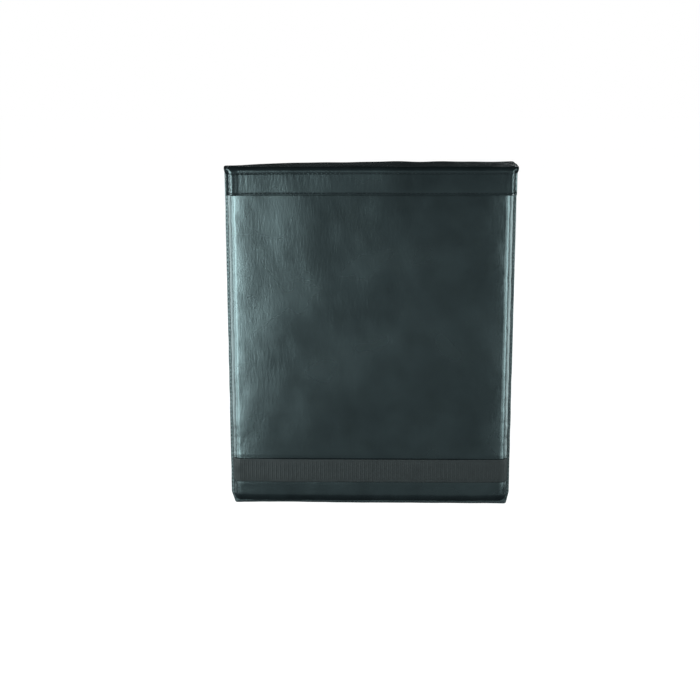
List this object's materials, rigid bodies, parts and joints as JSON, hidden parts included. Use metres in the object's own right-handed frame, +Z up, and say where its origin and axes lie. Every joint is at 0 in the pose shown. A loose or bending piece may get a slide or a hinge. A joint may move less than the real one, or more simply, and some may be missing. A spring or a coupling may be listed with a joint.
{
  "type": "trainer belly pad",
  "caption": "Rectangular leather-covered foam belly pad with a closing lip along its top, a webbing band across the front and a belt and neck harness behind.",
  "frame": {"origin": "on the floor under the middle of the pad's box, midway between its struck face and the back of its harness", "axes": "+Z up, -Y out of the struck face, +X to the right when the struck face is looked at"},
  "size_m": [0.35, 0.091, 0.424],
  "materials": {
    "cover_leather": "satin",
    "belt_webbing": "matte",
    "pad_foam": "matte",
    "closure_tape": "matte",
    "buckle_plastic": "satin"
  },
  "bodies": {
    "pad": {"front_panel": "cover_leather", "back_panel": "cover_leather", "left_gusset": "cover_leather", "right_gusset": "cover_leather", "bottom_gusset": "cover_leather", "foam_strike_layer": "pad_foam", "foam_core_layer": "pad_foam", "foam_comfort_layer": "pad_foam", "top_panel": "cover_leather", "loop_tape": "closure_tape", "front_webbing_band": "belt_webbing", "neck_patch_left": "cover_leather", "neck_patch_right": "cover_leather"},
    "flap_lip": {"flap_front_lip": "cover_leather", "hook_tape": "closure_tape"},
    "waist_left": {"waist_strap_long": "belt_webbing"},
    "waist_keeper": {"waist_keeper_loop": "closure_tape"},
    "waist_plug": {"waist_buckle_plug": "buckle_plastic"},
    "waist_prong_up": {"waist_prong_upper": "buckle_plastic"},
    "waist_prong_low": {"waist_prong_lower": "buckle_plastic"},
    "waist_right": {"waist_strap_short": "belt_webbing"},
    "waist_socket": {"waist_buckle_socket": "buckle_plastic"},
    "neck_left": {"neck_strap_left": "belt_webbing"},
    "neck_keeper": {"neck_keeper_loop": "closure_tape"},
    "neck_plug": {"neck_buckle_plug": "buckle_plastic"},
    "neck_prong_l": {"neck_prong_left": "buckle_plastic"},
    "neck_prong_r": {"neck_prong_right": "buckle_plastic"},
    "neck_right": {"neck_strap_right": "belt_webbing"},
    "neck_socket": {"neck_buckle_socket": "buckle_plastic"}
  },
  "joints": [
    {"name": "lip_peel", "type": "hinge", "parent": "pad", "child": "flap_lip", "pos_m": [0, -0.04555, 0.4176], "axis": [-1, 0, 0], "range_deg": [0, 90]},
    {"name": "waist_left_swing", "type": "hinge", "parent": "pad", "child": "waist_left", "pos_m": [-0.17391, 0.02699, 0.0465], "axis": [0, 0, 1], "range_deg": [0, 120]},
    {"name": "waist_keeper_slide", "type": "slide", "parent": "waist_left", "child": "waist_keeper", "axis": [1, 0, 0], "range_m": [-0.055, 0.04]},
    {"name": "waist_plug_pivot", "type": "hinge", "parent": "waist_left", "child": "waist_plug", "pos_m": [0.022, 0.04055, 0.0465], "axis": [0, 0, 1], "range_deg": [0, 90]},
    {"name": "waist_prong_up_flex", "type": "hinge", "parent": "waist_plug", "child": "waist_prong_up", "pos_m": [0.0372, 0.04055, 0.0585], "axis": [0, 1, 0], "range_deg": [0, 8], "stiffness_Nm_per_rad": 0.2},
    {"name": "waist_prong_low_flex", "type": "hinge", "parent": "waist_plug", "child": "waist_prong_low", "pos_m": [0.0372, 0.04055, 0.0345], "axis": [0, -1, 0], "range_deg": [0, 8], "stiffness_Nm_per_rad": 0.2},
    {"name": "waist_right_swing", "type": "hinge", "parent": "pad", "child": "waist_right", "pos_m": [0.17391, 0.02699, 0.0465], "axis": [0, 0, -1], "range_deg": [0, 120]},
    {"name": "waist_socket_pivot", "type": "hinge", "parent": "waist_right", "child": "waist_socket", "pos_m": [0.118, 0.04055, 0.0465], "axis": [0, 0, -1], "range_deg": [0, 90]},
    {"name": "neck_left_lift", "type": "hinge", "parent": "pad", "child": "neck_left", "pos_m": [-0.105, 0.03705, 0.406], "axis": [1, 0, 0], "range_deg": [0, 170]},
    {"name": "neck_keeper_slide", "type": "slide", "parent": "neck_left", "child": "neck_keeper", "axis": [0, 0, 1], "range_m": [-0.035, 0.04]},
    {"name": "neck_plug_pivot", "type": "hinge", "parent": "neck_left", "child": "neck_plug", "pos_m": [-0.105, 0.04055, 0.126], "axis": [1, 0, 0], "range_deg": [0, 90]},
    {"name": "neck_prong_l_flex", "type": "hinge", "parent": "neck_plug", "child": "neck_prong_l", "pos_m": [-0.1145, 0.04055, 0.1108], "axis": [0, -1, 0], "range_deg": [0, 8], "stiffness_Nm_per_rad": 0.2},
    {"name": "neck_prong_r_flex", "type": "hinge", "parent": "neck_plug", "child": "neck_prong_r", "pos_m": [-0.0955, 0.04055, 0.1108], "axis": [0, 1, 0], "range_deg": [0, 8], "stiffness_Nm_per_rad": 0.2},
    {"name": "neck_right_lift", "type": "hinge", "parent": "pad", "child": "neck_right", "pos_m": [0.105, 0.03705, 0.406], "axis": [1, 0, 0], "range_deg": [0, 170]},
    {"name": "neck_socket_pivot", "type": "hinge", "parent": "neck_right", "child": "neck_socket", "pos_m": [0.105, 0.04055, 0.126], "axis": [1, 0, 0], "range_deg": [0, 90]}
  ]
}
